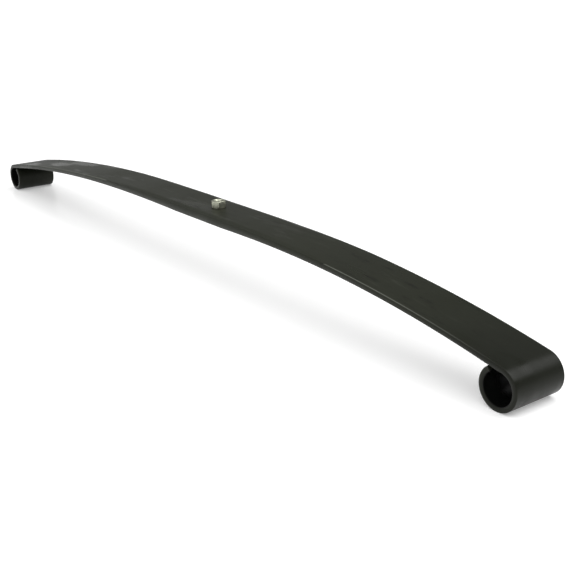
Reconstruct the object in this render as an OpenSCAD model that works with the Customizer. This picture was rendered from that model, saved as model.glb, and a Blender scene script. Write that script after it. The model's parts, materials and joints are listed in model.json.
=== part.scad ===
// Parabolic single-leaf road spring: one tapered steel leaf, rolled into an
// eye at each end and pierced at its seat by a centre bolt with a nut.
// X runs along the spring towards the short arm, Y across it and Z up. The
// origin is where the centre bolt's axis meets the underside of the seat.
// The leaf is one bar on the real spring. It is cut here into a centre and two
// arms, a hairline apart, at the lines about which its bending is gathered.

/* [Leaf] */
// Width of the leaf
leaf_width = 60; // [50:1:70]
// Thickness of the leaf at its seat
seat_thickness = 10; // [9:0.1:12]
// Thickness of the leaf where it rolls into an eye
eye_thickness = 5.2; // [4.5:0.1:6.5]
// How fast the thickness falls from the seat to the eyes
taper_power = 2.2; // [1:0.1:2.5]
// Radius of the convex narrow edges, as a share of the thickness
edge_ratio = 1; // [0.55:0.05:1.2]
// Length of the level seat on each side of the centre bolt
seat_half_length = 50; // [40:1:60]
// How late the arch falls away from the seat
arch_power = 2.35; // [2:0.05:3]
// Height of the top of the seat above the eye centres
eye_drop = 57.5; // [45:0.5:75]

/* [Arms] */
// Centre bolt to the eye centre of the short arm
short_arm_length = 465; // [430:5:520]
// Centre bolt to the eye centre of the long arm
long_arm_length = 590; // [540:5:620]
// Share of an arm, from the end of the seat, at which it pivots
pivot_share = 0.25; // [0.2:0.05:0.35]
// Hairline between an arm and the centre of the leaf
split_gap = 0.1; // [0.05:0.05:0.3]

/* [Eyes] */
// Diameter of the eye bores
eye_bore = 31; // [28:0.5:34]
// Gap between the end of a rolled eye and the leaf above it
roll_gap = 0.6; // [0.4:0.1:1.5]

/* [Centre bolt and nut] */
// Diameter of the centre bolt
bolt_diameter = 10; // [8:0.5:12]
// Diameter of the bolt hole in the leaf
bolt_hole = 10.5; // [10.3:0.1:12.5]
// Diameter of the round locating head
head_diameter = 16; // [14:0.5:18]
// Height of the locating head
head_height = 10; // [6:0.5:12]
// Width of the nut across its flats
nut_across_flats = 16; // [15:0.5:19]
// Height of the nut
nut_height = 8.4; // [6:0.1:10]
// How far the end of the bolt lies below the top of the nut
bolt_recess = 0.5; // [0.2:0.1:1.5]
// Chamfer on the end of the bolt and on the rim of its head
bolt_chamfer = 1; // [0.5:0.1:1.5]

/* [Hidden] */

eye_radius = eye_bore / 2 + eye_thickness;
eye_z = seat_thickness - eye_drop;
ream = 0.4; // extra thickness that the ream takes out of an eye
thread_clearance = 0.1;
nut_bore = bolt_diameter + 2 * thread_clearance;
nut_chamfer_angle = 30;
thread_countersink = 0.9;
overcut = 1; // how far a drill runs on beyond a face

edge_steps = 6;    // flats along the arc of a narrow edge
arm_stations = 32; // sections along an arm beyond its pivot
roll_stations = 54; // sections round an eye
centre_stations = 16; // sections along each sloping end of the centre
round = 72;        // $fn of the drawn curves

paint = "#33332d";
zinc = "#b9b7a8";

// Length of the arm that x lies on
function arm_length(x) = x > 0 ? short_arm_length : long_arm_length;

// Downward angle of the leaf's top where it meets the eye, found by repetition
function tip_angle(length, guess = 10, turns = 12) =
    turns == 0 ? guess :
    tip_angle(length,
        atan(arch_power * (eye_drop - eye_radius * cos(guess))
            / (length + eye_radius * sin(guess) - seat_half_length)),
        turns - 1);

short_tip = tip_angle(short_arm_length);
long_tip = tip_angle(long_arm_length);
function tip(x) = x > 0 ? short_tip : long_tip;

// Where the top of the leaf touches the eye, from the bolt
function touch(x) = arm_length(x) + eye_radius * sin(tip(x));

// Share of the way from the end of the seat to that touching point
function along(x) =
    min(1, max(0, (abs(x) - seat_half_length) / (touch(x) - seat_half_length)));

function top_z(x) =
    seat_thickness - (eye_drop - eye_radius * cos(tip(x))) * pow(along(x), arch_power);
function top_angle(x) =
    sign(x) * atan(tan(tip(x)) * pow(along(x), arch_power - 1));
function thickness(x) =
    let (end = eye_thickness + ream)
        end + (seat_thickness - end) * pow(1 - along(x), taper_power);

// One narrow edge of a section t thick, as convex [y, depth below the top] points
edge_half_angle = asin(0.5 / edge_ratio);
function edge(t) = [
    for (i = [0:edge_steps])
        let (a = edge_half_angle * (2 * i / edge_steps - 1), r = edge_ratio * t)
            [leaf_width / 2 - r + r * cos(a), t / 2 + r * sin(a)]
];

// The whole section: one edge, then its mirror image back to the start
function section(t) =
    concat(edge(t), [for (i = [edge_steps:-1:0]) [-edge(t)[i][0], edge(t)[i][1]]]);

// A section hung from the point [x, z] on the leaf's top, tilted by angle
function hang(top, angle, t) = [
    for (p = section(t))
        [top[0] - p[1] * sin(angle), p[0], top[1] - p[1] * cos(angle)]
];

// The section at x, square to the leaf's top
function station(x) = hang([x, top_z(x)], top_angle(x), thickness(x));

// The solid that runs through a list of sections
module sweep(sections) {
    n = len(sections[0]);
    last = len(sections) - 1;
    sides = [
        for (s = [0:last - 1], k = [0:n - 1])
            let (a = s * n + k, b = s * n + (k + 1) % n)
                each [[a, a + n, b], [b, a + n, b + n]]
    ];
    caps = [[for (k = [0:n - 1]) k], [for (k = [n - 1:-1:0]) last * n + k]];
    polyhedron([for (s = sections) each s], concat(sides, caps), convexity = 4);
}

// Where an arm pivots: side is 1 for the short arm and -1 for the long
function pivot_x(side) =
    side * (seat_half_length + pivot_share * (arm_length(side) - seat_half_length));

function steps(from, to, count) = [for (i = [0:count]) from + (to - from) * i / count];

// The sections of a leaf that runs out from an arm's pivot, and on round its eye
// until the rolled end nearly meets the underside
function arm_sections(side) =
    let (start = pivot_x(side) + side * split_gap,
        roll = 360 - acos((eye_bore / 2 - ream - roll_gap) / eye_radius))
        concat(
            [for (x = steps(start, side * touch(side), arm_stations)) station(x)],
            [for (i = [1:roll_stations])
                let (a = side * (tip(side) + roll * i / roll_stations))
                    hang([side * arm_length(side), eye_z] + eye_radius * [sin(a), cos(a)],
                        a, eye_thickness + ream)]
        );

function reversed(list) = [for (i = [len(list) - 1:-1:0]) list[i]];

// An arm with its eye, reamed to size
module arm(side) {
    sections = arm_sections(side);
    difference() {
        sweep(side > 0 ? sections : reversed(sections));
        translate([side * arm_length(side), 0, eye_z])
            rotate([90, 0, 0])
                cylinder(d = eye_bore, h = leaf_width + 2 * overcut, center = true, $fn = round);
    }
}

module leaf_centre() {
    color(paint)
        difference() {
            sweep([
                for (x = concat(
                    steps(pivot_x(-1), -seat_half_length, centre_stations),
                    steps(seat_half_length, pivot_x(1), centre_stations)))
                    station(x)
            ]);
            translate([0, 0, -overcut])
                cylinder(d = bolt_hole, h = seat_thickness + 2 * overcut, $fn = round);
        }
}

module short_arm() {
    color(paint) arm(1);
}

module long_arm() {
    color(paint) arm(-1);
}

module centre_bolt() {
    shank_end = seat_thickness + nut_height - bolt_recess;
    color(zinc)
        rotate_extrude($fn = round)
            polygon([
                [0, -head_height],
                [head_diameter / 2 - bolt_chamfer, -head_height],
                [head_diameter / 2, bolt_chamfer - head_height],
                [head_diameter / 2, 0],
                [bolt_diameter / 2, 0],
                [bolt_diameter / 2, shank_end - bolt_chamfer],
                [bolt_diameter / 2 - bolt_chamfer, shank_end],
                [0, shank_end]
            ]);
}

module centre_nut() {
    corner = nut_across_flats / 2 / cos(30);
    drop = (corner - nut_across_flats / 2) * tan(nut_chamfer_angle);
    sink = nut_bore / 2 + thread_countersink;
    color(zinc)
        translate([0, 0, seat_thickness])
            difference() {
                intersection() {
                    rotate([0, 0, 30]) cylinder(r = corner, h = nut_height, $fn = 6);
                    rotate_extrude($fn = round)
                        polygon([
                            [0, 0],
                            [nut_across_flats / 2, 0],
                            [corner, drop],
                            [corner, nut_height - drop],
                            [nut_across_flats / 2, nut_height],
                            [0, nut_height]
                        ]);
                }
                translate([0, 0, -overcut])
                    cylinder(d = nut_bore, h = nut_height + 2 * overcut, $fn = round);
                for (up = [0, 1])
                    translate([0, 0, up * nut_height])
                        mirror([0, 0, up])
                            translate([0, 0, -0.01])
                                cylinder(r1 = sink, r2 = nut_bore / 2,
                                    h = thread_countersink, $fn = round);
            }
}

leaf_centre();
short_arm();
long_arm();
centre_bolt();
centre_nut();
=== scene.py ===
"""A parabolic single-leaf road spring on a pale studio floor.

The leaf is two closed halves that meet at the centre bolt. Each half bends from the
seat into its own arm, and together they stand for the leaf's three solids in the
frame. The bolt has its thread and the nut its chamfers.
"""

import json
import math

import bmesh
import bpy
from mathutils import Matrix, Vector


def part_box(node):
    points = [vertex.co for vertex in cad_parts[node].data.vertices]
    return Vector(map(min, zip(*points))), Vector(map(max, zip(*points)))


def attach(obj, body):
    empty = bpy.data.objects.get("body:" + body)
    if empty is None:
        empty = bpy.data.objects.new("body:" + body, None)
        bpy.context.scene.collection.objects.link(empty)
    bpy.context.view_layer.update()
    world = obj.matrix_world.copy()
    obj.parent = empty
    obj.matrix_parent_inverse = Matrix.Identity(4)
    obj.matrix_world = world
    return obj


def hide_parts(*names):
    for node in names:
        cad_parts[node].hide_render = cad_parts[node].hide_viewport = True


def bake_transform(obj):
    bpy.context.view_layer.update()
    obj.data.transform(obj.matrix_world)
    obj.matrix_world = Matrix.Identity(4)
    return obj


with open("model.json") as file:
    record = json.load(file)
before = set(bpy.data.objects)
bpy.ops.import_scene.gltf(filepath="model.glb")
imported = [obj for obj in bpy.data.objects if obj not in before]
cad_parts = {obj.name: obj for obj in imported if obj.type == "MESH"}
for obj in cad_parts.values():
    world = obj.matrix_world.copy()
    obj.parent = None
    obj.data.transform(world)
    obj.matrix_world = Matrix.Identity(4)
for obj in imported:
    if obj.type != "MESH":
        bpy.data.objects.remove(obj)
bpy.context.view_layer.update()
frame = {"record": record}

MM = 0.001  # the scene is in metres

# ---------------------------------------------------------------- dimensions

mounts = {m["name"]: m for m in frame["record"]["mounts"]}

centre_low, centre_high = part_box("leaf_centre")
bolt_low, bolt_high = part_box("centre_bolt")
nut_low, nut_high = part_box("centre_nut")

# The leaf
LEAF_WIDTH = centre_high.y - centre_low.y
SEAT_THICKNESS = centre_high.z
SEAT_HALF_LENGTH = 50 * MM
EYE_THICKNESS = 5.2 * MM
REAM = 0.4 * MM      # metal that the reamer takes out of the rolled eye
ROLL_GAP = 0.6 * MM  # between the rolled end and the arm
TAPER_POWER = 2.2    # how the thickness falls from the seat to the eye
ARCH_POWER = 2.35    # how the top falls from the seat to the eye

# Its section
EDGE_RATIO = 1.0              # radius of the narrow sides over the thickness
CORNER_RADIUS = 0.5 * MM
SHOULDER_WIDTH = 8 * MM       # the strip beside each upper corner that rolls over
SHOULDER_DROP = 1.6 * MM      # how far it falls, near the seat
SHOULDER_STEPS = 6
SHOULDER_FADE = (0.12, 0.24)  # distance from the bolt over which it fades away

# Its eyes
BORE_RADIUS = mounts["short_eye"]["dims"]["r_mm"] * MM
EYE_RADIUS = BORE_RADIUS + EYE_THICKNESS
EYE_HEIGHT = mounts["short_eye"]["pos_m"][2]
FLOOR = EYE_HEIGHT - EYE_RADIUS

# Where its paint changes, and where a highlight and shade are painted on it
HIGHLIGHT_SLOPE = (0.3, 0.9)  # sideways part of the normal on a corner that gets a painted highlight
EYE_SHADE_START = 0.75        # share of an arm from which painted shade darkens it towards the eye

# The bolt
BOLT_RADIUS = 5 * MM
BOLT_HOLE_RADIUS = 5.25 * MM
HEAD_RADIUS = bolt_high.x
HEAD_ROUNDING = 1 * MM   # round the lower edge of the head
HEAD_BREAK = 0.25 * MM   # bevel round its upper edge
HEAD_DISH = 0.3 * MM     # hollow in the middle of its face
THREAD_PITCH = 1.5 * MM
THREAD_DEPTH = 0.8 * MM
THREAD_START = 1 * MM    # above the underside of the seat
THREAD_RINGS = 8         # rings of points in one pitch
GROOVE_NARROWING = 1.15  # above 1, so that a flat crest is left between grooves
END_CHAMFER = 1 * MM
CUP_RIM = 0.15 * MM      # width left round the hollow in the bolt's end
CUP_DEPTH = 1.2 * MM
CUP_SHOULDER = (0.75, 0.8 * MM)  # where the hollow turns: share of its radius, depth

# The nut
NUT_FLATS = nut_high.x   # from the axis to a flat
NUT_BORE = 5.1 * MM
NUT_SINK = 0.9 * MM      # countersink round the bore
NUT_FACE = 0.97          # radius of the round end face over NUT_FLATS
NUT_SLOPE = math.tan(math.radians(30))  # of the cones that cut its corners
NUT_BREAK = 0.12 * MM    # softens the edge between a cone and a side

SMOOTH_ANGLE = math.radians(30)  # edges sharper than this stay crisp
WELD = 1e-7  # metres; points nearer to each other than this become one


# ------------------------------------------------------------- mesh building

def add_mesh(name, points, faces, material):
    """A closed mesh object with outward faces and crisp edges."""
    mesh = bpy.data.meshes.new(name)
    mesh.from_pydata([tuple(p) for p in points], [], faces)
    mesh.update()
    piece = bpy.data.objects.new(name, mesh)
    bpy.context.scene.collection.objects.link(piece)
    mesh.materials.append(material)
    tidy_normals(mesh)
    return piece


def tidy_normals(mesh):
    """Turns all faces outward and marks the sharp edges."""
    work = bmesh.new()
    work.from_mesh(mesh)
    bmesh.ops.remove_doubles(work, verts=work.verts, dist=WELD)
    bmesh.ops.recalc_face_normals(work, faces=work.faces)
    for face in work.faces:
        face.smooth = True
    for edge in work.edges:
        edge.smooth = edge.is_manifold and edge.calc_face_angle(0) < SMOOTH_ANGLE
    work.to_mesh(mesh)
    work.free()


def loft(rings):
    """Points and faces of a closed tube through rings of equal length."""
    count = len(rings[0])
    points = [p for ring in rings for p in ring]
    faces = []
    for r in range(len(rings) - 1):
        for k in range(count):
            a, b = r * count + k, r * count + (k + 1) % count
            faces.append((a, b, b + count, a + count))
    faces.append(tuple(range(count)))
    faces.append(tuple(range(len(points) - count, len(points))))
    return points, faces


def spun(profile_at, turns):
    """A body of revolution; profile_at(angle) gives its [radius, z] points. It is closed
    if they start and end on the axis, or at the same point."""
    rings = []
    for i in range(turns):
        angle = 2 * math.pi * i / turns
        rings.append([(r * math.cos(angle), r * math.sin(angle), z)
                      for r, z in profile_at(angle)])
    count = len(rings[0])
    points = [p for ring in rings for p in ring]
    faces = []
    for i in range(turns):
        a, b = i * count, (i + 1) % turns * count
        for k in range(count - 1):
            faces.append((a + k, b + k, b + k + 1, a + k + 1))
    return points, faces


def fraction(value, start, end):
    """How far value is from start to end, kept between 0 and 1."""
    return min(1.0, max(0.0, (value - start) / (end - start)))


# ------------------------------------------------------------- the leaf's form

class Arm:
    """The curve of one arm. side is 1 for the short arm, -1 for the long one."""

    def __init__(self, side, mount):
        self.side = side
        self.length = abs(mounts[mount]["pos_m"][0])
        # The tilt at the eye and the arm's reach depend on each other, so both are worked
        # out in turn, from a first guess of the tilt, until they settle.
        rounds = 12
        self.tip = math.radians(10)
        for _ in range(rounds):
            self.reach = self.length + EYE_RADIUS * math.sin(self.tip) - SEAT_HALF_LENGTH
            self.drop = SEAT_THICKNESS - EYE_HEIGHT - EYE_RADIUS * math.cos(self.tip)
            self.tip = math.atan(ARCH_POWER * self.drop / self.reach)

    def station(self, x):
        """Top point, tilt and thickness at x from the bolt."""
        u = fraction(x, SEAT_HALF_LENGTH, SEAT_HALF_LENGTH + self.reach)
        tilt = math.atan(math.tan(self.tip) * u ** (ARCH_POWER - 1))
        end = EYE_THICKNESS + REAM
        thickness = end + (SEAT_THICKNESS - end) * (1 - u) ** TAPER_POWER
        before_eye = (self.reach + SEAT_HALF_LENGTH - x) / math.cos(self.tip)
        if before_eye < BORE_RADIUS:
            reamed = EYE_RADIUS - math.sqrt(BORE_RADIUS ** 2 - before_eye ** 2)
            thickness = min(thickness, reamed)
        return (x, SEAT_THICKNESS - self.drop * u ** ARCH_POWER), tilt, thickness

    def eye_station(self, turn):
        """The same, at an angle round the eye from where the leaf meets it."""
        tilt = self.tip + turn
        top = (self.length + EYE_RADIUS * math.sin(tilt),
               EYE_HEIGHT + EYE_RADIUS * math.cos(tilt))
        return top, tilt, EYE_THICKNESS

    def ring(self, top, tilt, thickness):
        """The section's outline in space."""
        x, z = top
        shoulder = SHOULDER_DROP * (1 - fraction(x, *SHOULDER_FADE))
        return [(self.side * (x - depth * math.sin(tilt)), y, z - depth * math.cos(tilt))
                for y, depth in section(thickness, shoulder)]


def section(thickness, shoulder):
    """Outline of the bar as (y, depth) points: flat faces, convex narrow sides,
    rounded corners, and upper corners that fall by shoulder."""
    face_steps, side_steps, corner_steps = 10, 8, 3
    side_radius = EDGE_RATIO * thickness
    side_centre = LEAF_WIDTH / 2 - side_radius
    rise = thickness / 2 - CORNER_RADIUS
    run = math.sqrt((side_radius - CORNER_RADIUS) ** 2 - rise ** 2)
    corner_angle = math.atan2(rise, run)
    near = []
    for i in range(corner_steps):
        a = math.pi / 2 + (corner_angle - math.pi / 2) * i / corner_steps
        near.append((side_centre + run + CORNER_RADIUS * math.cos(a),
                     CORNER_RADIUS * (1 - math.sin(a))))
    for i in range(side_steps + 1):
        a = corner_angle * (1 - 2 * i / side_steps)
        near.append((side_centre + side_radius * math.cos(a),
                     thickness / 2 - side_radius * math.sin(a)))
    near += [(y, thickness - depth) for y, depth in reversed(near[:corner_steps])]
    far = [(-y, depth) for y, depth in reversed(near)]

    face_edge = near[0][0]
    underside = [(face_edge * (1 - 2 * i / face_steps), thickness)
                 for i in range(1, face_steps)]
    strip = [face_edge - SHOULDER_WIDTH * (1 - i / SHOULDER_STEPS)
             for i in range(SHOULDER_STEPS)]
    between = [-strip[0] * (1 - 2 * i / face_steps) for i in range(1, face_steps)]
    across_top = [-y for y in reversed(strip)] + between + strip
    top = [(y, 0.0) for y in across_top]

    def fallen(y, depth):
        into_strip = max(0.0, 1 - (LEAF_WIDTH / 2 - abs(y)) / SHOULDER_WIDTH)
        return y, depth + shoulder * into_strip ** 2 * (1 - depth / thickness)

    return [fallen(*point) for point in near + underside + far + top]


def leaf_half(name, arm, material):
    """Half of the leaf, from the bolt out to its arm and round its eye."""
    seat_steps, arm_steps, eye_steps = 10, 90, 90
    stations = [arm.station(SEAT_HALF_LENGTH * i / seat_steps) for i in range(seat_steps)]
    stations += [arm.station(SEAT_HALF_LENGTH + arm.reach * i / arm_steps)
                 for i in range(arm_steps + 1)]
    roll = 2 * math.pi - math.acos((BORE_RADIUS - REAM - ROLL_GAP) / EYE_RADIUS)
    stations += [arm.eye_station(roll * i / eye_steps) for i in range(1, eye_steps + 1)]
    points, faces = loft([arm.ring(*station) for station in stations])
    half = add_mesh(name, points, faces, material)
    cut_bolt_hole(half)
    mark_paint(half.data, arm)
    return half


def cut_bolt_hole(half):
    """Drills the half of the bolt hole that falls in this half of the leaf."""
    turns = 64
    angles = [2 * math.pi * i / turns for i in range(turns)]
    rings = [[(BOLT_HOLE_RADIUS * math.cos(a), BOLT_HOLE_RADIUS * math.sin(a), z)
              for a in angles]
             for z in (-SEAT_THICKNESS, 2 * SEAT_THICKNESS)]
    points, faces = loft(rings)
    drill = add_mesh(half.name + "_drill", points, faces, half.data.materials[0])
    cut = half.modifiers.new("bolt_hole", "BOOLEAN")
    cut.operation = "DIFFERENCE"
    cut.solver = "EXACT"
    cut.object = drill
    bpy.context.view_layer.update()
    shape = half.evaluated_get(bpy.context.evaluated_depsgraph_get())
    drilled = bpy.data.meshes.new_from_object(shape)
    half.modifiers.clear()
    half.data = drilled
    bpy.data.objects.remove(drill)
    tidy_normals(half.data)


def mark_paint(mesh, arm):
    """Stores where light and shade are painted: painted shade grows towards the eye, painted shade
    is 1 inside the eye's bore, and a painted highlight is 1 on the corners that face up, past the
    rolled shoulders."""
    painted_eye_shade = mesh.attributes.new("painted_eye_shade", "FLOAT", "POINT")
    painted_bore_shade = mesh.attributes.new("painted_bore_shade", "FLOAT", "POINT")
    corner_highlight = mesh.attributes.new("corner_highlight", "FLOAT", "POINT")
    for i, vertex in enumerate(mesh.vertices):
        x, _, z = vertex.co
        from_bolt = abs(x)
        from_axis = math.hypot(from_bolt - arm.length, z - EYE_HEIGHT)
        sideways, upward = abs(vertex.normal.y), vertex.normal.z
        corner = HIGHLIGHT_SLOPE[0] < sideways < HIGHLIGHT_SLOPE[1] and upward > 0
        corner_highlight.data[i].value = 1.0 if corner and from_bolt > SHOULDER_FADE[1] else 0.0
        painted_eye_shade.data[i].value = fraction(from_bolt, arm.length * EYE_SHADE_START, arm.length)
        painted_bore_shade.data[i].value = 1.0 if from_axis < BORE_RADIUS + REAM else 0.0


# ------------------------------------------------------------ the bolt and nut

def thread_radius(angle, z):
    """Radius of the bolt's thread crest and groove at a place on the shank."""
    phase = (z / THREAD_PITCH - angle / (2 * math.pi)) % 1.0
    groove = max(0.0, 1 - abs(2 * phase - 1) * GROOVE_NARROWING)
    return BOLT_RADIUS - THREAD_DEPTH * groove


def bolt_profile(angle):
    """Outline of the bolt from the middle of its head up to its end."""
    top, bottom = bolt_high.z, bolt_low.z
    points = [(0, bottom + HEAD_DISH), (0.3 * HEAD_RADIUS, bottom + HEAD_DISH / 3),
              (0.5 * HEAD_RADIUS, bottom)]
    rounding_steps = 4
    for i in range(rounding_steps + 1):
        a = math.pi / 2 * i / rounding_steps
        points.append((HEAD_RADIUS - HEAD_ROUNDING + HEAD_ROUNDING * math.sin(a),
                       bottom + HEAD_ROUNDING - HEAD_ROUNDING * math.cos(a)))
    points += [(HEAD_RADIUS, -HEAD_BREAK), (HEAD_RADIUS - HEAD_BREAK, 0), (BOLT_RADIUS, 0)]
    steps = int((top - THREAD_START) / THREAD_PITCH * THREAD_RINGS)
    for i in range(1, steps + 1):
        z = THREAD_START + (top - THREAD_START) * i / steps
        chamfered = BOLT_RADIUS - max(0.0, z - (top - END_CHAMFER))
        points.append((min(thread_radius(angle, z), chamfered), z))
    cup = BOLT_RADIUS - END_CHAMFER - CUP_RIM
    shoulder, shoulder_depth = CUP_SHOULDER
    points += [(cup, top), (shoulder * cup, top - shoulder_depth), (0, top - CUP_DEPTH)]
    return points


def nut_profile(angle):
    """Outline of the nut's ring at an angle: hexagon sides under two chamfer cones."""
    sixth = math.pi / 3
    off_flat = (angle + sixth / 2) % sixth - sixth / 2
    reach = NUT_FLATS / math.cos(off_flat)
    face = NUT_FLATS * NUT_FACE
    fall = (reach - face) * NUT_SLOPE
    sink = NUT_BORE + NUT_SINK
    inner = reach - NUT_BREAK
    low, high = nut_low.z, nut_high.z
    return [
        (NUT_BORE, high - NUT_SINK), (sink, high), (face, high),
        (inner, high - fall + NUT_BREAK * NUT_SLOPE), (reach, high - fall - NUT_BREAK),
        (reach, low + fall + NUT_BREAK), (inner, low + fall - NUT_BREAK * NUT_SLOPE),
        (face, low), (sink, low), (NUT_BORE, low + NUT_SINK), (NUT_BORE, high - NUT_SINK),
    ]


# ------------------------------------------------------------------- materials

# Colours are linear red, green and blue
PAINT_LOW = (0.0125, 0.0139, 0.0085)
PAINT_HIGH = (0.0155, 0.0172, 0.0110)
PAINT_RUBBED = (0.028, 0.030, 0.022)
PAINT_SCUFFED = (0.006, 0.0065, 0.004)
SCUFF_SHARE = 0.8  # how much of that colour a full scuff takes
# Painted highlight on the corners that face up
PAINT_CORNER_HIGHLIGHT = (0.095, 0.100, 0.085)
# Painted shade towards the eyes
PAINT_EYE_SHADE = (0.0085, 0.0095, 0.0062)
# Painted shade inside the eye bores
PAINT_BORE_SHADE = (0.0025, 0.0026, 0.0022)
PAINT_SPECULAR = 0.12
PAINT_ROUGHNESS = (0.36, 0.46)
GLOSS_GAIN = 0.13  # how much less rough the glossy patches are

ZINC_LOW = (0.29, 0.30, 0.235)
ZINC_HIGH = (0.47, 0.48, 0.39)
ZINC_ROUGHNESS = (0.30, 0.46)

FLOOR_LOW = (0.88, 0.88, 0.88)
FLOOR_HIGH = (0.9, 0.9, 0.9)
FLOOR_ROUGHNESS = 0.12
FLOOR_GLOW = 0.28

WHITE = (1, 1, 1, 1)
# The part of each noise over which its effect grows from none to full
CLOUD_RANGE = (0.3, 0.7)
RUB_RANGE = (0.60, 0.78)
SCUFF_RANGE = (0.57, 0.66)
GLOSS_RANGE = (0.52, 0.62)


class Nodes:
    """Short names for building a material's node tree."""

    def __init__(self, name):
        self.material = bpy.data.materials.new(name)
        self.material.use_nodes = True
        self.tree = self.material.node_tree
        self.shader = self.tree.nodes["Principled BSDF"]

    def add(self, kind, **inputs):
        node = self.tree.nodes.new(kind)
        for key, value in inputs.items():
            node.inputs[key].default_value = value
        return node

    def link(self, source, target):
        self.tree.links.new(source, target)

    def place(self):
        return self.add("ShaderNodeTexCoord").outputs["Object"]

    def stretched(self, scale, turn=0.0):
        """The place turned about Z by an angle in degrees, then scaled."""
        mapping = self.add("ShaderNodeMapping", Scale=scale,
                           Rotation=(0.0, 0.0, math.radians(turn)))
        self.link(self.place(), mapping.inputs["Vector"])
        return mapping.outputs["Vector"]

    def noise(self, vector, scale, detail, roughness=0.5):
        node = self.add("ShaderNodeTexNoise", Scale=scale, Detail=detail, Roughness=roughness)
        self.link(vector, node.inputs["Vector"])
        return node.outputs["Fac"]

    def attribute(self, name):
        node = self.add("ShaderNodeAttribute")
        node.attribute_name = name
        return node.outputs["Fac"]

    def span(self, value, low, high, to_low=0.0, to_high=1.0):
        """Maps low to high onto to_low to to_high."""
        node = self.add("ShaderNodeMapRange")
        set_range(node, (low, high, to_low, to_high))
        self.link(value, node.inputs["Value"])
        return node.outputs["Result"]

    def minus(self, first, second):
        node = self.add("ShaderNodeMath")
        node.operation = "SUBTRACT"
        self.link(first, node.inputs[0])
        self.link(second, node.inputs[1])
        return node.outputs["Value"]

    def mix(self, amount, first, second):
        """A colour between first and second, each a colour or another node's output."""
        node = self.add("ShaderNodeMix")
        node.data_type = "RGBA"
        self.link(amount, node.inputs["Factor"])
        colour_inputs = [s for s in node.inputs if s.type == "RGBA"]
        for socket, colour in zip(colour_inputs, (first, second)):
            if isinstance(colour, tuple):
                socket.default_value = (*colour, 1.0)
            else:
                self.link(colour, socket)
        return next(s for s in node.outputs if s.type == "RGBA")

    def bump(self, height, distance, strength, under=None):
        node = self.add("ShaderNodeBump", Strength=strength, Distance=distance)
        self.link(height, node.inputs["Height"])
        if under:
            self.link(under, node.inputs["Normal"])
        return node.outputs["Normal"]


def set_range(node, numbers):
    """Sets a Map Range node from (from low, from high, to low, to high)."""
    for key, number in zip(("From Min", "From Max", "To Min", "To Max"), numbers):
        node.inputs[key].default_value = number


def leaf_paint():
    """Satin black paint over rolled spring steel, with faint rubs, scuffs and gloss, a painted
    highlight on the corners that face up, and painted shade towards the eyes and inside their bores.
    """
    n = Nodes("leaf_paint")
    place = n.place()

    cloud = n.noise(place, scale=9.0, detail=5.0)
    rub = n.noise(n.stretched(scale=(6.0, 60.0, 60.0)), scale=3.0, detail=6.0, roughness=0.65)
    scuff = n.noise(n.stretched(scale=(30.0, 150.0, 30.0), turn=35.0),
                    scale=1.0, detail=5.0, roughness=0.7)
    base = n.mix(n.span(cloud, *CLOUD_RANGE), PAINT_LOW, PAINT_HIGH)
    rubbed = n.mix(n.span(rub, *RUB_RANGE), base, PAINT_RUBBED)
    scuffed = n.mix(n.span(scuff, *SCUFF_RANGE, to_high=SCUFF_SHARE), rubbed, PAINT_SCUFFED)
    # painted highlight on the corners that face up
    corner_highlight = n.mix(n.attribute("corner_highlight"), scuffed, PAINT_CORNER_HIGHLIGHT)
    # painted shade growing towards the eyes
    painted_eye_shade = n.mix(n.attribute("painted_eye_shade"), corner_highlight, PAINT_EYE_SHADE)
    # painted shade inside the eye bores
    finished = n.mix(n.attribute("painted_bore_shade"), painted_eye_shade, PAINT_BORE_SHADE)
    n.link(finished, n.shader.inputs["Base Color"])
    n.shader.inputs["Specular IOR Level"].default_value = PAINT_SPECULAR

    gloss = n.noise(n.stretched(scale=(9.0, 30.0, 9.0), turn=50.0),
                    scale=1.0, detail=4.0, roughness=0.6)
    satin = n.span(cloud, *CLOUD_RANGE, *PAINT_ROUGHNESS)
    smoother = n.span(gloss, *GLOSS_RANGE, to_high=GLOSS_GAIN)
    n.link(n.minus(satin, smoother), n.shader.inputs["Roughness"])

    wave = n.noise(n.stretched(scale=(12.0, 40.0, 12.0)), scale=1.0, detail=2.0)
    uneven = n.bump(wave, distance=0.8 * MM, strength=0.35)
    grain = n.noise(place, scale=420.0, detail=3.0)
    peel = n.bump(grain, distance=0.06 * MM, strength=0.35, under=uneven)
    speck = n.noise(place, scale=900.0, detail=2.0)
    n.link(n.bump(speck, distance=0.03 * MM, strength=0.3, under=peel),
           n.shader.inputs["Normal"])
    return n.material


def zinc_steel():
    """Bright zinc plate, faintly yellow, with small handling marks."""
    n = Nodes("zinc_steel")
    place = n.place()
    cloud = n.noise(place, scale=220.0, detail=4.0)
    mark = n.noise(place, scale=1400.0, detail=5.0, roughness=0.7)
    n.link(n.mix(n.span(cloud, *CLOUD_RANGE), ZINC_LOW, ZINC_HIGH),
           n.shader.inputs["Base Color"])
    n.shader.inputs["Metallic"].default_value = 1.0
    n.link(n.span(cloud, *CLOUD_RANGE, *ZINC_ROUGHNESS), n.shader.inputs["Roughness"])
    n.link(n.bump(mark, distance=0.04 * MM, strength=0.2), n.shader.inputs["Normal"])
    return n.material


def studio_floor():
    """White acrylic light table: it glows softly and mirrors a little."""
    n = Nodes("studio_floor")
    cloud = n.noise(n.place(), scale=3.0, detail=2.0)
    n.link(n.mix(cloud, FLOOR_LOW, FLOOR_HIGH), n.shader.inputs["Base Color"])
    n.shader.inputs["Roughness"].default_value = FLOOR_ROUGHNESS
    n.shader.inputs["Emission Color"].default_value = WHITE
    n.shader.inputs["Emission Strength"].default_value = FLOOR_GLOW
    return n.material


# ---------------------------------------------------------------------- pieces

paint = leaf_paint()
zinc = zinc_steel()

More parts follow.
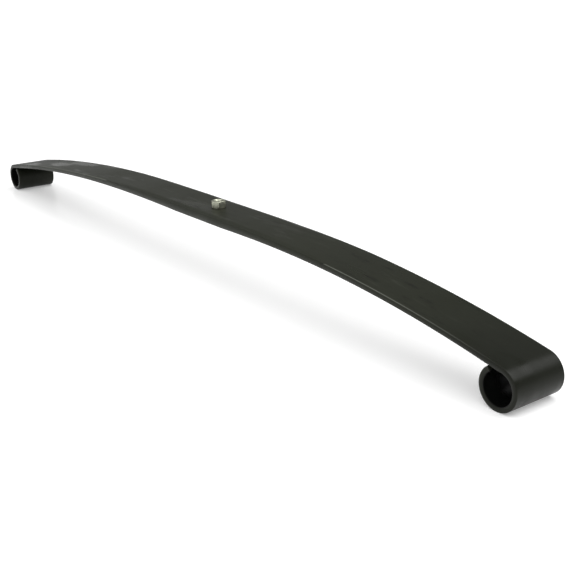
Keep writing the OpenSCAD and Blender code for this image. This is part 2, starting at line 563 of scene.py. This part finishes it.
for side, half_name, mount, body, joint, stands_for in (
    (1, "leaf_short_half", "short_eye", "short_arm", "short_arm_flex", ("leaf_centre", "short_arm")),
    (-1, "leaf_long_half", "long_eye", "long_arm", "long_arm_flex", ("long_arm",)),
):
    half = leaf_half(half_name, Arm(side, mount), paint)
    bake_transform(half)
    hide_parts(*stands_for)

bolt = add_mesh("threaded_centre_bolt", *spun(bolt_profile, turns=96), zinc)
nut = add_mesh("hex_centre_nut", *spun(nut_profile, turns=120), zinc)
for piece, node in ((bolt, "centre_bolt"), (nut, "centre_nut")):
    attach(piece, "seat")
    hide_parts(node)


# ------------------------------------------------------------ floor and lights

FLOOR_SIZE = 40.0  # metres, so that its edge is far away

# Where each light comes from, the angle it fills in degrees, and its strength
OVERHEAD = ((0.1, -0.1, 1), 90, 1.6)
REAR = ((0.33, 0.56, 0.76), 45, 1.5)
FRONT_FILL = ((-0.2, -0.7, 0.8), 130, 1.5)

# Sine of the elevation where the walls' light starts and stops fading, and its strengths
ROOM_FADE = (0.0, 0.35, 0.6, 0.22)


def flat_square(name, size, z, material):
    mesh = bpy.data.meshes.new(name)
    h = size / 2
    mesh.from_pydata([(-h, -h, z), (h, -h, z), (h, h, z), (-h, h, z)], [], [(0, 1, 2, 3)])
    square = bpy.data.objects.new(name, mesh)
    bpy.context.scene.collection.objects.link(square)
    mesh.materials.append(material)
    return square


def soft_dome(name, toward, spread, strength):
    """A very wide soft light from the direction of toward."""
    lamp = bpy.data.lights.new(name, "SUN")
    lamp.angle = math.radians(spread)
    lamp.energy = strength
    holder = bpy.data.objects.new(name, lamp)
    holder.rotation_euler = Vector(toward).to_track_quat("Z", "Y").to_euler()
    bpy.context.scene.collection.objects.link(holder)


def studio_room():
    """A dim room that is lighter low down, where the walls catch the table's light."""
    world = bpy.data.worlds.new("studio_room")
    world.use_nodes = True
    tree = world.node_tree
    direction = tree.nodes.new("ShaderNodeTexCoord")
    parts = tree.nodes.new("ShaderNodeSeparateXYZ")
    fade = tree.nodes.new("ShaderNodeMapRange")
    set_range(fade, ROOM_FADE)
    tree.links.new(direction.outputs["Generated"], parts.inputs["Vector"])
    tree.links.new(parts.outputs["Z"], fade.inputs["Value"])
    tree.links.new(fade.outputs["Result"], tree.nodes["Background"].inputs["Strength"])
    tree.nodes["Background"].inputs["Color"].default_value = WHITE
    return world


flat_square("floor", FLOOR_SIZE, FLOOR, studio_floor())
soft_dome("overhead_softbox", *OVERHEAD)
soft_dome("rear_softbox", *REAR)
soft_dome("front_fill", *FRONT_FILL)
bpy.context.scene.world = studio_room()
bpy.context.scene.view_settings.view_transform = "Standard"


# ---------------------------------------------------------------------- camera

CAMERA_PLACE = (0.9425, -0.5784, FLOOR + 0.3618)
CAMERA_AZIMUTH = math.radians(54.36)
CAMERA_ELEVATION = math.radians(19.35)
CAMERA_ROLL = math.radians(-1.66)
CAMERA_LENS = 59.95   # mm
CAMERA_SENSOR = 36    # mm

back = Vector((
    math.sin(CAMERA_AZIMUTH) * math.cos(CAMERA_ELEVATION),
    -math.cos(CAMERA_AZIMUTH) * math.cos(CAMERA_ELEVATION),
    math.sin(CAMERA_ELEVATION),
))
level = Vector((0, 0, 1)).cross(back).normalized()
upright = back.cross(level)
right = math.cos(CAMERA_ROLL) * level + math.sin(CAMERA_ROLL) * upright
up = back.cross(right)
turned = Matrix((right, up, back)).transposed().to_4x4()
camera_data = bpy.data.cameras.new("camera")
camera_data.lens = CAMERA_LENS
camera_data.sensor_width = CAMERA_SENSOR
camera = bpy.data.objects.new("camera", camera_data)
camera.matrix_world = Matrix.Translation(CAMERA_PLACE) @ turned
bpy.context.scene.collection.objects.link(camera)
bpy.context.scene.camera = camera
